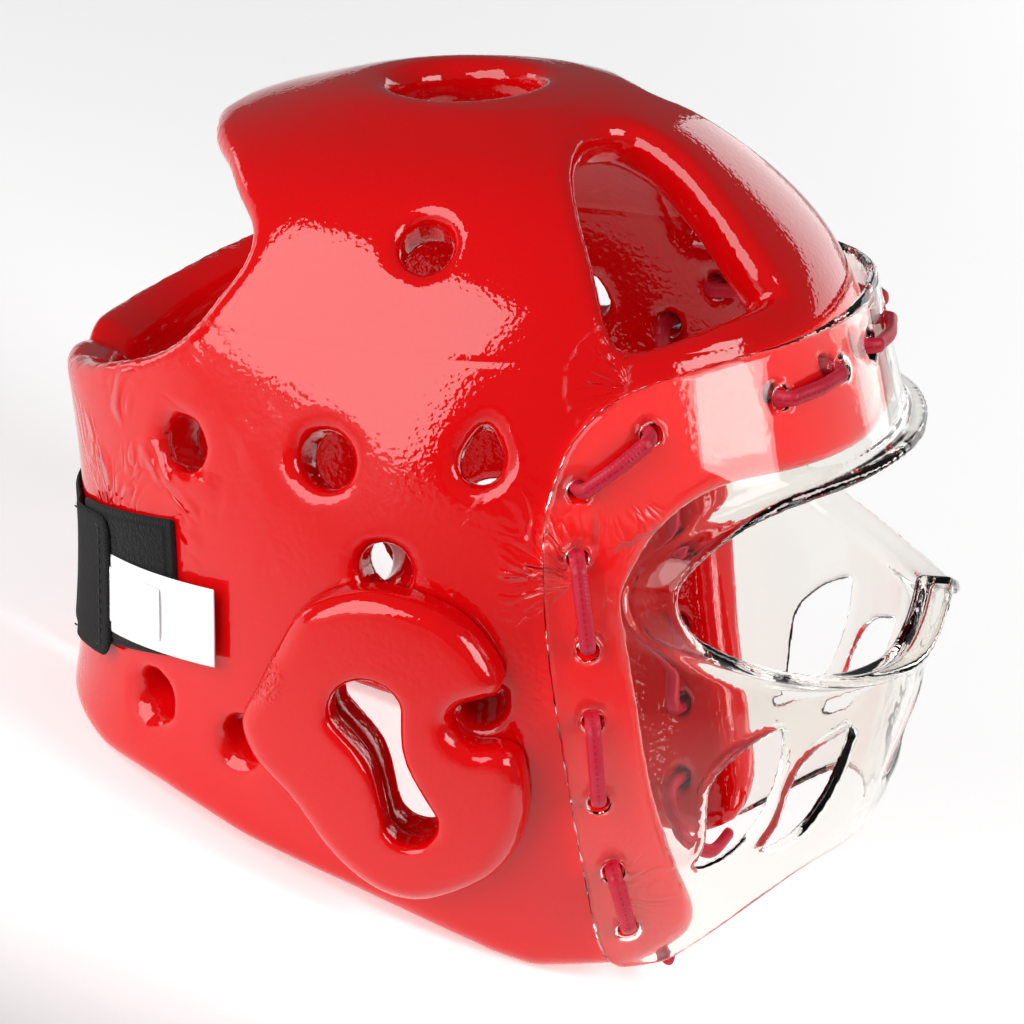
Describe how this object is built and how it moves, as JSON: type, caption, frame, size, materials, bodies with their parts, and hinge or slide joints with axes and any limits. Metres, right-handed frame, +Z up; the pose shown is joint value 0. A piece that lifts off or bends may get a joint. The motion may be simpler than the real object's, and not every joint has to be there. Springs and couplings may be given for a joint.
{
  "type": "combat sport head guard with face shield",
  "caption": "Dipped foam head guard for combat sport with a laced-on clear face shield, ear pads, vents, a crown hole and a hook-and-loop strap behind.",
  "frame": {"origin": "middle of the bounding box in plan, on the ground that the guard rests on", "axes": "+Z up, -Y the way the wearer's face looks, +X the wearer's left; the guard leans back 21.5 degrees, resting on its jaw ends and rear flaps"},
  "size_m": [0.2216, 0.2729, 0.2325],
  "materials": {
    "red_foam": "high-gloss dipped skin over foam",
    "clear": "clear polished polycarbonate",
    "lace_red": "braided cord",
    "black_web": "woven elastic, and loop pile on the patch",
    "white_tape": "smooth satin label tape, blank"
  },
  "bodies": {
    "root": {"shell": "red_foam", "ear_pad_right": "red_foam", "ear_pad_left": "red_foam", "face_shield": "clear", "lace": "lace_red", "rear_strap": "black_web", "loop_patch": "black_web", "label": "white_tape"}
  },
  "joints": []
}
